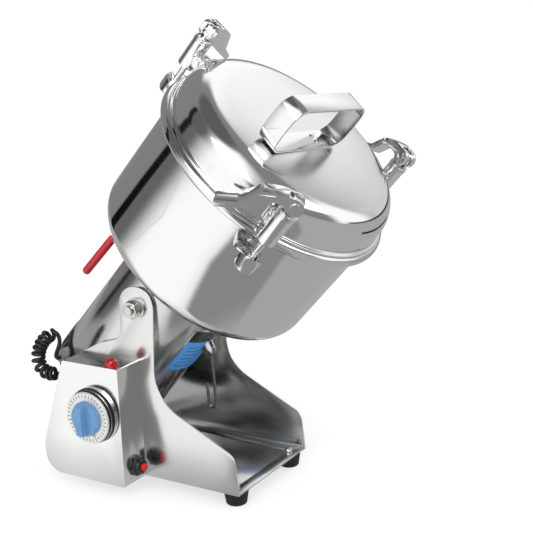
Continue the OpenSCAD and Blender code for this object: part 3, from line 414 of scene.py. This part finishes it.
# A broad flat is a face of over 2 square cm. What turns away from all of them is a fold, and it gets the
# painted highlight.
least_flat, same_way = 2e-4, 0.98
flats = [face.normal.copy() for face in box.data.polygons if face.area > least_flat]
for face in box.data.polygons:
    face.material_index = 0 if any(face.normal.dot(flat) > same_way for flat in flats) else 1


# ---- Timer ------------------------------------------------------------------------
# A spring timer: a ribbed ring of black ABS with bright lips, a pale printed scale
# and a light blue knob with a thin finger ridge.
half_stand, box_depth, dial_along, dial_z = 66, 34.5, 34, 87.5
box_face, dial_y = stand_place.x - half_stand - box_depth, stand_place.y + dial_along
TIMER = (Matrix.Translation((box_face / 1000, dial_y / 1000, dial_z / 1000))
         @ Matrix.Rotation(math.radians(-90), 4, "Y"))


def revolved(name, profile, place, materials, segments, band=None, smooth=40):
    """Turns a closed outline of (radius, height) in mm round the axis of its place."""
    points, rows = [], []
    for r, h in profile:
        if r < 1e-6:
            rows.append([len(points)] * segments)
            points.append((0, 0, h / 1000))
        else:
            rows.append(list(range(len(points), len(points) + segments)))
            for k in range(segments):
                angle = 2 * math.pi * k / segments
                points.append((r / 1000 * math.cos(angle), r / 1000 * math.sin(angle), h / 1000))
    faces, tints = [], []
    for i in range(len(rows)):
        a, b = rows[i], rows[(i + 1) % len(rows)]
        if a[0] == a[1] and b[0] == b[1]:
            continue
        for k in range(segments):
            n = (k + 1) % segments
            faces.append(tuple(dict.fromkeys((a[k], a[n], b[n], b[k]))))
            tints.append(band[i] if band else 0)
    piece = piece_from(name, [place @ Vector(p) for p in points], faces, materials, smooth)
    for face, tint in zip(piece.data.polygons, tints):
        face.material_index = tint
    shape = bmesh.new()
    shape.from_mesh(piece.data)
    bmesh.ops.recalc_face_normals(shape, faces=shape.faces)
    shape.to_mesh(piece.data)
    shape.free()
    return piece


def arc(centre, radius, start, end, steps):
    angles = [math.radians(start + (end - start) * i / steps) for i in range(steps + 1)]
    return [(centre[0] + radius * math.cos(a), centre[1] + radius * math.sin(a)) for a in angles]


def plastic(name, colour, rough_from, rough_to, grain, depth=0.15, coat=0.0):
    """Moulded plastic or film with a fine speckle, and a clear coat where it is glossy."""
    material, tree = new_material(name)
    place = add(tree, "ShaderNodeTexCoord")
    speck = add(tree, "ShaderNodeTexNoise", {"Vector": place.outputs["Object"], "Scale": grain, "Detail": 3})
    rough = add(tree, "ShaderNodeMapRange", {0: speck.outputs[0], 3: rough_from, 4: rough_to})
    bump = add(tree, "ShaderNodeBump", {"Height": speck.outputs[0], "Strength": depth, "Distance": 0.0002})
    body = add(tree, "ShaderNodeBsdfPrincipled", {
        "Base Color": linear(colour), "Roughness": rough.outputs[0], "Normal": bump.outputs[0],
        "IOR": 1.52, "Coat Weight": coat, "Coat Roughness": 0.08})
    add(tree, "ShaderNodeOutputMaterial", {"Surface": body.outputs[0]})
    return material


black_abs = plastic("moulded_black_abs", "#17181A", 0.3, 0.45, 1400)
bright_lip = satin_steel("turned_aluminium_lip", "#D8D8D8", 0.16, 0.26, (900, 900, 900))
dial_r, spindle_hole, scale_hole, dial_segments = 27, 3.1, 12, 128
ring = [(spindle_hole, -1), (dial_r + 1.5, -0.2), (dial_r + 1.5, 2.2), (dial_r + 1.2, 2.5),
        (dial_r - 0.4, 3.2), (dial_r - 0.4, 4.6), (dial_r + 0.8, 5.2), (dial_r + 0.8, 6.8),
        (dial_r + 0.5, 7.1), (dial_r - 1, 7.6), (dial_r - 1, 9), (dial_r - 0.2, 9.8),
        (dial_r, 10.1), (dial_r - 0.2, 10.5), (dial_r - 0.6, 10.6), (spindle_hole, 10.5)]
# Which stretches of that outline are bright lips, counted from its first point.
lips = [0, 1, 1, 0, 0, 0, 0, 1, 0, 0, 0, 1, 1, 1, 1, 0]
timer_ring = revolved("timer_ring", ring, TIMER, [black_abs, bright_lip], dial_segments, lips, 30)
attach(timer_ring, "stand")
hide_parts("timer_body")

# The scale is spun, which leaves faint rings about 0.4 mm apart round its middle.
ring_scale = 900
scale_face, tree = new_material("printed_aluminium_scale")
place = add(tree, "ShaderNodeTexCoord")
centre = add(tree, "ShaderNodeMapping", {
    "Vector": place.outputs["Object"],
    "Location": (0, -dial_y / 1000 * ring_scale, -dial_z / 1000 * ring_scale),
    "Scale": (0, ring_scale, ring_scale)})
distance = add(tree, "ShaderNodeVectorMath", {0: centre.outputs[0]}, operation="LENGTH")
spin = add(tree, "ShaderNodeTexNoise", {"W": distance.outputs["Value"], "Scale": 3.0, "Detail": 2},
           noise_dimensions="1D")
rough = add(tree, "ShaderNodeMapRange", {0: spin.outputs[0], 3: 0.3, 4: 0.5})
tone = add(tree, "ShaderNodeMix", {0: spin.outputs[0], 6: linear("#D6D6D4"), 7: linear("#ECECEA")},
           data_type="RGBA")
enamel = add(tree, "ShaderNodeBsdfPrincipled", {
    "Base Color": tone.outputs[2], "Metallic": 0.55, "Roughness": rough.outputs[0]})
add(tree, "ShaderNodeOutputMaterial", {"Surface": enamel.outputs[0]})
scale_outline = [(scale_hole, 10.6), (dial_r - 0.5, 10.6), (dial_r - 0.8, 11.6), (dial_r - 1.2, 11.9),
                 (scale_hole, 11.9)]
scale_plate = revolved("scale_plate", scale_outline, TIMER, [scale_face], dial_segments, smooth=30)
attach(scale_plate, "stand")
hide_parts("timer_dial")

ink = plastic("printed_ink", "#202226", 0.45, 0.6, 900, 0.02)


def settled(seed):
    """The plain mesh that an object's modifiers or letters make. The object itself goes."""
    bpy.context.view_layer.update()
    mesh = bpy.data.meshes.new_from_object(seed.evaluated_get(bpy.context.evaluated_depsgraph_get()))
    bpy.data.objects.remove(seed)
    return mesh


def grown(name, build, inputs, place, material):
    """Runs a node tree on an empty mesh and keeps what it grows as a plain mesh."""
    tree = bpy.data.node_groups.new(name, "GeometryNodeTree")
    tree.interface.new_socket("Geometry", in_out="OUTPUT", socket_type="NodeSocketGeometry")
    sockets = {}
    for key, (kind, value) in inputs.items():
        sockets[key] = tree.interface.new_socket(key, in_out="INPUT", socket_type=kind)
        sockets[key].default_value = value
    start = tree.nodes.new("NodeGroupInput")
    shape = build(tree, start)
    real = add(tree, "GeometryNodeRealizeInstances", {0: shape})
    tinted = add(tree, "GeometryNodeSetMaterial", {0: real.outputs[0], "Material": material})
    end = tree.nodes.new("NodeGroupOutput")
    tree.links.new(tinted.outputs[0], end.inputs[0])
    seed = bpy.data.objects.new(name + "_seed", bpy.data.meshes.new(name + "_seed"))
    bpy.context.collection.objects.link(seed)
    modifier = seed.modifiers.new("grow", "NODES")
    modifier.node_group = tree
    for key, (kind, value) in inputs.items():
        modifier[sockets[key].identifier] = value
    mesh = settled(seed)
    mesh.name = name
    mesh.transform(place)
    piece = bpy.data.objects.new(name, mesh)
    bpy.context.collection.objects.link(piece)
    return piece


def scale_marks(tree, start):
    """Marks on a circle: a short one at each step, a long one at every fifth."""
    circle = add(tree, "GeometryNodeMeshCircle", {
        "Vertices": start.outputs["Marks"], "Radius": start.outputs["Radius"]})
    points = add(tree, "GeometryNodeMeshToPoints", {0: circle.outputs[0]})
    index = add(tree, "GeometryNodeInputIndex")
    fifth = add(tree, "ShaderNodeMath", {0: index.outputs[0], 1: 5.0}, operation="MODULO")
    long = add(tree, "FunctionNodeCompare", {0: fifth.outputs[0], 1: 0.5}, operation="LESS_THAN")
    length = add(tree, "ShaderNodeMath", {0: long.outputs[0], 1: 0.55, 2: 1.0}, operation="MULTIPLY_ADD")
    turn = add(tree, "ShaderNodeMath", {0: index.outputs[0], 1: start.outputs["Step"]}, operation="MULTIPLY")
    spin = add(tree, "ShaderNodeCombineXYZ", {2: turn.outputs[0]})
    size = add(tree, "ShaderNodeCombineXYZ", {0: length.outputs[0], 1: 1.0, 2: 1.0})
    bar = add(tree, "GeometryNodeMeshCube", {"Size": start.outputs["Mark"]})
    placed = add(tree, "GeometryNodeInstanceOnPoints", {
        "Points": points.outputs[0], "Instance": bar.outputs[0], "Rotation": spin.outputs[0],
        "Scale": size.outputs[0]})
    return placed.outputs[0]


mark_count, marks_r, marks_up = 35, 0.0229, 0.01193
marks_place = TIMER @ Matrix.Translation((0, 0, marks_up))
marks = grown("scale_marks", scale_marks, {
    "Marks": ("NodeSocketInt", mark_count), "Radius": ("NodeSocketFloat", marks_r),
    "Step": ("NodeSocketFloat", 2 * math.pi / mark_count),
    "Mark": ("NodeSocketVector", (0.0026, 0.0007, 0.0001))}, marks_place, ink)
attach(marks, "stand")
# Numbers in minutes stand upright round the scale, a step of degrees for every five minutes.
number_high, number_thick, numbers_r, numbers_up = 0.0042, 0.00004, 0.0186, 0.01195
zero_at, five_minutes = 60, 24
for minutes in range(5, 35, 5):
    figure = bpy.data.curves.new(f"figure_{minutes}", "FONT")
    figure.body = str(minutes)
    figure.size, figure.extrude = number_high, number_thick
    figure.align_x, figure.align_y = "CENTER", "CENTER"
    seed = bpy.data.objects.new(figure.name, figure)
    bpy.context.collection.objects.link(seed)
    mesh = settled(seed)
    angle = math.radians(zero_at + five_minutes * minutes / 5)
    at = Matrix.Translation((numbers_r * math.cos(angle), numbers_r * math.sin(angle), numbers_up))
    mesh.transform(TIMER @ at @ Matrix.Rotation(math.radians(-90), 4, "Z"))
    mesh.materials.clear()
    mesh.materials.append(ink)
    number = bpy.data.objects.new(f"scale_figure_{minutes}", mesh)
    bpy.context.collection.objects.link(number)
    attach(number, "stand")
knob_pp, tree = new_material("light_blue_polypropylene")
place = add(tree, "ShaderNodeTexCoord")
speck = add(tree, "ShaderNodeTexNoise", {"Vector": place.outputs["Object"], "Scale": 60, "Detail": 4})
tone = add(tree, "ShaderNodeMix", {0: speck.outputs[0], 6: linear("#5486B6"), 7: linear("#76A6D0")},
           data_type="RGBA")
rough = add(tree, "ShaderNodeMapRange", {0: speck.outputs[0], 3: 0.28, 4: 0.42})
shell = add(tree, "ShaderNodeBsdfPrincipled", {
    "Base Color": tone.outputs[2], "Roughness": rough.outputs[0], "Subsurface Weight": 0.15,
    "Subsurface Radius": (0.002, 0.003, 0.005), "IOR": 1.5})
add(tree, "ShaderNodeOutputMaterial", {"Surface": shell.outputs[0]})
softened("timer_knob", 0.0006, [knob_pp], segments=3)


# ---- Lamp, breaker, switch and glands ------------------------------------------------
# A red neon lamp on the box's top, an overload breaker with a red button on its front, a
# rocker switch on its rear face, and the moulded glands of the curly and the mains cord.
red_lens, tree = new_material("red_acrylic_lens")
place = add(tree, "ShaderNodeTexCoord")
swirl = add(tree, "ShaderNodeTexNoise", {"Vector": place.outputs["Object"], "Scale": 350, "Detail": 2})
tone = add(tree, "ShaderNodeMix", {0: swirl.outputs[0], 6: linear("#8E0A10"), 7: linear("#D21C24")},
           data_type="RGBA")
lens = add(tree, "ShaderNodeBsdfPrincipled", {
    "Base Color": tone.outputs[2], "Roughness": 0.14, "IOR": 1.49, "Coat Weight": 0.4,
    "Coat Roughness": 0.05})
add(tree, "ShaderNodeOutputMaterial", {"Surface": lens.outputs[0]})
button_red = plastic("red_abs_button", "#D3161D", 0.25, 0.38, 1200)
grey_nylon = plastic("grey_nylon_gland", "#9A9C9E", 0.35, 0.5, 900)
for node, material in (("lamp", red_lens), ("breaker_body", black_abs), ("breaker_button", button_red),
                       ("switch_body", black_abs), ("switch_rocker", black_abs), ("box_gland", black_abs),
                       ("mains_gland", black_abs), ("motor_gland_body", grey_nylon)):
    softened(node, 0.0004, [material])


# ---- Motor tube -------------------------------------------------------------------------
# A stainless tube, rolled and polished, closed below by a vented cap of black ABS. The
# bowl is welded to its top, and the hook's ears are welded to its front.
rest_tilt, tilt_axis = 42.6, (-0.0007, 0.0448, 0.193)
HEAD = Matrix.Translation(tilt_axis) @ Matrix.Rotation(math.radians(rest_tilt), 4, "X")


def polished(name, colour, rough_from, rough_to, ripple):
    """Bright stainless with the faint rings that spinning and buffing leave round it."""
    material, tree = new_material(name)
    place = add(tree, "ShaderNodeTexCoord")
    turned = add(tree, "ShaderNodeVectorRotate", {
        "Vector": place.outputs["Object"], "Center": tilt_axis, "Angle": math.radians(-rest_tilt)},
        rotation_type="X_AXIS")
    along = add(tree, "ShaderNodeMapping", {"Vector": turned.outputs[0], "Scale": (6, 6, 420)})
    rings = add(tree, "ShaderNodeTexNoise", {"Vector": along.outputs[0], "Scale": 1.0, "Detail": 4})
    haze = add(tree, "ShaderNodeTexNoise", {"Vector": place.outputs["Object"], "Scale": 9, "Detail": 3})
    both = add(tree, "ShaderNodeMath", {0: rings.outputs[0], 1: haze.outputs[0]}, operation="MULTIPLY")
    rough = add(tree, "ShaderNodeMapRange", {0: both.outputs[0], 1: 0.1, 2: 0.45, 3: rough_from, 4: rough_to})
    bump = add(tree, "ShaderNodeBump", {"Height": rings.outputs[0], "Strength": ripple, "Distance": 0.0002})
    steel = add(tree, "ShaderNodeBsdfPrincipled", {
        "Base Color": linear(colour), "Metallic": 1.0, "Roughness": rough.outputs[0],
        "Normal": bump.outputs[0]})
    add(tree, "ShaderNodeOutputMaterial", {"Surface": steel.outputs[0]})
    return material


tube_steel = polished("rolled_stainless_tube", "#CFCFCE", 0.14, 0.22, 0.04)
softened("motor_tube", 0.0003, [tube_steel])
softened("motor_cap", 0.0004, [black_abs])


# ---- Plated fittings and hook ---------------------------------------------------------
# Zinc-plated studs and nuts that the head tilts on, the plated nut that holds the blades, a
# release lever with a grip dipped in red vinyl, and a hook of drawn stainless wire.
for node in ("pivot_studs", "pivot_nuts", "lever_bracket", "tilt_lever", "blade_nut"):
    softened(node, 0.0002, [zinc])
wire = satin_steel("drawn_stainless_wire", "#8C8C8B", 0.22, 0.32, (200, 200, 200))
softened("hang_hook", 0.0002, [wire])
vinyl = plastic("dipped_red_vinyl", "#C4161E", 0.2, 0.34, 500, 0.08, 0.3)
softened("lever_grip", 0.0003, [vinyl])


# ---- Label ----------------------------------------------------------------------------
# A blue polyester label wrapped round the front of the tube, with a dark head and plain
# ruled lines. It carries no words.
label_film = plastic("blue_polyester_film", "#4C9FEA", 0.3, 0.42, 700, 0.03)
head_film = plastic("black_polyester_film", "#1D2126", 0.28, 0.4, 700, 0.03)
rule_film = plastic("dark_blue_rule", "#1F568F", 0.35, 0.45, 700, 0.02)


def wrapped(name, radius, low, high, left, right, material):
    """A patch on the tube, in mm along it and degrees round it from its front."""
    columns, thick = 24, 0.12
    points, faces = [], []
    for i in range(columns + 1):
        a = math.radians(left + (right - left) * i / columns)
        for r, h in ((radius, low), (radius, high), (radius - thick, high), (radius - thick, low)):
            points.append(HEAD @ Vector((r * math.sin(a) / 1000, -r * math.cos(a) / 1000, h / 1000)))
    for i in range(columns):
        a, b = 4 * i, 4 * i + 4
        faces += [(a + k, b + k, b + (k + 1) % 4, a + (k + 1) % 4) for k in range(4)]
    faces += [(0, 1, 2, 3), (4 * columns + 3, 4 * columns + 2, 4 * columns + 1, 4 * columns)]
    piece = piece_from(name, points, faces, [material], 30)
    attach(piece, "head")


film_r, rule_r, rule_step = 62.15, 62.2, 6
wrapped("label_blue", film_r, -51, -6, -30, 30, label_film)
wrapped("label_head", film_r, -6, 11, -30, 30, head_film)
for i in range(6):
    wrapped(f"label_rule_{i}", rule_r, -15.4 - rule_step * i, -14 - rule_step * i, -24, 24, rule_film)


# ---- Motor inside -----------------------------------------------------------------------
# The motor inside the tube: cast shields that carry ground bearings, a stator and an armature
# of varnished iron, and a moulded fan on the shaft.
def made_of(node, material):
    """Gives a CAD node that keeps its own mesh the material of the real piece."""
    nodes[node].data.materials.clear()
    nodes[node].data.materials.append(material)


cast = satin_steel("cast_aluminium", "#B9BABB", 0.4, 0.6, (300, 300, 300))
iron = satin_steel("varnished_iron", "#6F6A66", 0.35, 0.5, (200, 200, 1500))
for node, material in (("end_bell_upper", cast), ("end_bell_lower", cast), ("bearings", zinc),
                       ("stator", iron), ("armature", iron), ("fan", black_abs)):
    made_of(node, material)


# ---- Bowl -------------------------------------------------------------------------------
# Deep-drawn stainless, polished inside and out, with a rolled rim, a white gasket and
# two hardened blades on the shaft.
bowl_steel = polished("polished_stainless_bowl", "#E6E6E5", 0.05, 0.11, 0.02)
bowl_r, rim_z, floor_z, bead_r, wall = 115, 185.7, 52.5, 5.5, 1.8
shaft_hole, heel, neck_r, neck_z, halfway_z, bowl_segments = 6.6, 20, 0.9, 180.4, 130, 256
bead_at = bowl_r - wall + bead_r
bowl_line = ([(shaft_hole, floor_z)] + arc((bowl_r - heel, floor_z + heel), heel, -90, 0, 16) +
             [(bowl_r, halfway_z)] + arc((bowl_r + neck_r, neck_z), neck_r, 180, 110, 3) +
             arc((bead_at, rim_z), bead_r, -125, 180, 40) + [(bowl_r - wall, halfway_z)] +
             arc((bowl_r - heel, floor_z + heel), heel - wall, 0, -90, 12) + [(shaft_hole, floor_z + wall)])
bowl = revolved("bowl_shell", bowl_line, HEAD, [bowl_steel], bowl_segments)
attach(bowl, "head")
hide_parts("bowl")
silicone = plastic("white_silicone", "#E4E2DC", 0.4, 0.55, 800)
made_of("rim_gasket", silicone)
blade_steel = satin_steel("ground_blade_steel", "#C4C4C4", 0.15, 0.3, (800, 40, 800))
for node in ("blade_lower", "blade_upper"):
    made_of(node, blade_steel)


# ---- Lid --------------------------------------------------------------------------------
# Pressed from the same sheet, with a slightly domed top, a large rounded shoulder and a
# thin flange that lies on the gasket. A bent band is riveted on as its handle. The top
# is brushed, so it shines without mirroring, and the shoulder is buffed bright.
lid_r, lid_edge, lid_seat, lid_top, shoulder = 116, 120.0, 192.4, 230, 26
dome, slow_fall, steep_fall, crown_r = 2.5, 0.41, 2.23, 92.7
flange_r, root_r, root_up = 1.2, 1.6, 2.8
lid_c = (lid_r - shoulder, lid_top - shoulder)
crown = [(r, lid_top + dome - slow_fall * (r / crown_r) ** 2 - steep_fall * (r / crown_r) ** 4)
         for r in range(88, 0, -8)] + [(0, lid_top + dome)]
lid_line = ([(lid_edge, lid_seat - 1)] + arc((lid_edge - flange_r, lid_seat), flange_r, 0, 90, 6) +
            arc((lid_r + root_r, lid_seat + root_up), root_r, -90, -180, 6) +
            arc(lid_c, shoulder, 0, 84, 40) + crown +
            [(r, h - wall) for r, h in reversed(crown)] + arc(lid_c, shoulder - wall, 84, 0, 20) +
            [(lid_r - wall, lid_seat), (lid_edge - flange_r, lid_seat), (lid_edge - flange_r, lid_seat - 1)])
# It is brushed within 78 mm of its middle, and buffed from 102 mm out.
lid_steel, tree = new_material("stainless_lid_brushed_top")
place = add(tree, "ShaderNodeTexCoord")
turned = add(tree, "ShaderNodeVectorRotate", {
    "Vector": place.outputs["Object"], "Center": tilt_axis, "Angle": math.radians(-rest_tilt)},
    rotation_type="X_AXIS")
centred = add(tree, "ShaderNodeMapping", {
    "Vector": turned.outputs[0], "Location": (-tilt_axis[0], -tilt_axis[1], 0), "Scale": (1, 1, 0)})
outwards = add(tree, "ShaderNodeVectorMath", {0: centred.outputs[0]}, operation="LENGTH")
brushed = add(tree, "ShaderNodeMapRange", {
    0: outwards.outputs["Value"], 1: 0.078, 2: 0.102, 3: 0.2, 4: 0.07}, interpolation_type="SMOOTHSTEP")
haze = add(tree, "ShaderNodeTexNoise", {"Vector": place.outputs["Object"], "Scale": 9, "Detail": 3})
rough = add(tree, "ShaderNodeMath", {0: haze.outputs[0], 1: 0.06, 2: brushed.outputs[0]},
            operation="MULTIPLY_ADD")
steel = add(tree, "ShaderNodeBsdfPrincipled", {
    "Base Color": linear("#E8E8E7"), "Metallic": 1.0, "Roughness": rough.outputs[0]})
add(tree, "ShaderNodeOutputMaterial", {"Surface": steel.outputs[0]})
lid = revolved("lid_shell", lid_line, HEAD, [lid_steel], bowl_segments)
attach(lid, "head")
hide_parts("lid")
# The band is buffed outside. Its inner sides, which face its own middle, get a dark grey steel as painted
# shade.
band_steel = polished("polished_stainless_band", "#E6E6E5", 0.05, 0.1, 0.0)
# A dark grey steel that paints shade on the inner sides of the band.
band_shade_steel = satin_steel("stainless_band_painted_shade", "#767675", 0.16, 0.26, (60, 60, 60))
handle = softened("lid_handle", 0.0005, [band_steel, band_shade_steel], segments=3)
middle = sum((Vector(corner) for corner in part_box("lid_handle")), Vector()) / 2
facing_in, facing_side = 0.25, 0.6
for face in handle.data.polygons:
    inwards = face.normal.dot((middle - face.center).normalized())
    face.material_index = 1 if inwards > facing_in and abs(face.normal.x) > facing_side else 0


# ---- Clamps -----------------------------------------------------------------------------
# Investment-cast stainless, tumbled bright: a barrel on a bracket, a rod with a nut that
# seats on the lug, and a cam lever that draws the rod up.
cast_bright, tree = new_material("tumbled_cast_stainless")
place = add(tree, "ShaderNodeTexCoord")
skin = add(tree, "ShaderNodeTexNoise", {"Vector": place.outputs["Object"], "Scale": 240, "Detail": 3})
wave = add(tree, "ShaderNodeTexNoise", {"Vector": place.outputs["Object"], "Scale": 55, "Detail": 2})
rough = add(tree, "ShaderNodeMapRange", {0: skin.outputs[0], 3: 0.09, 4: 0.2})
bump = add(tree, "ShaderNodeBump", {"Height": wave.outputs[0], "Strength": 0.05, "Distance": 0.002})
steel = add(tree, "ShaderNodeBsdfPrincipled", {
    "Base Color": linear("#ECECEB"), "Metallic": 1.0, "Roughness": rough.outputs[0],
    "Normal": bump.outputs[0]})
add(tree, "ShaderNodeOutputMaterial", {"Surface": steel.outputs[0]})
rounding = {"barrel": 0.0005, "rod": 0.0004, "cam_lever": 0.0008, "lug": 0.0006, "bracket": 0.0005}
for i in (1, 2, 3):
    for kind, width in rounding.items():
        softened(f"{kind}_{i}", width, [cast_bright])
